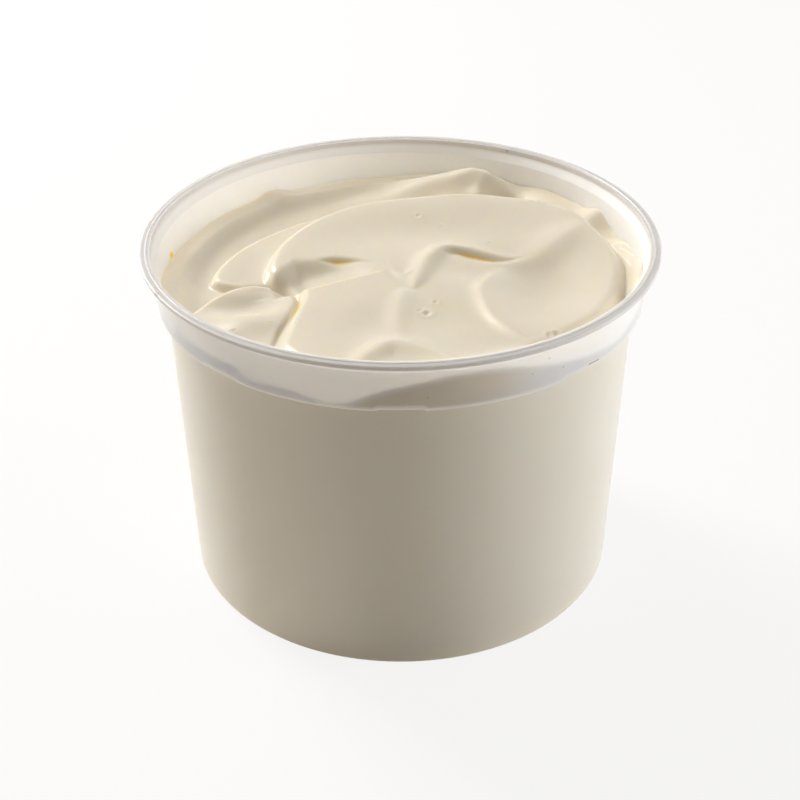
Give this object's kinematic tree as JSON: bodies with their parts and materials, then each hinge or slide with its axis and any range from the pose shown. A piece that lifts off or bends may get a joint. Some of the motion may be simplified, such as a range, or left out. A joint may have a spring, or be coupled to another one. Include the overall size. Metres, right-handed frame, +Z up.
{
  "type": "cream tub",
  "caption": "Round milky plastic tub with a flat rim, a collar and a stacking ledge, open and full of thick cream that lies in spooned folds.",
  "frame": {"origin": "centre of the ring that the tub stands on, at table level", "axes": "+Z up along the tub's axis; the front, where one stacking notch is centred, faces -Y"},
  "size_m": [0.1183, 0.1184, 0.0837],
  "materials": {
    "tub_plastic": "milky translucent polypropylene, satin",
    "cream": "thick dairy cream, soft moist gloss"
  },
  "bodies": {
    "root": {"tub": "tub_plastic", "cream": "cream"}
  },
  "joints": []
}
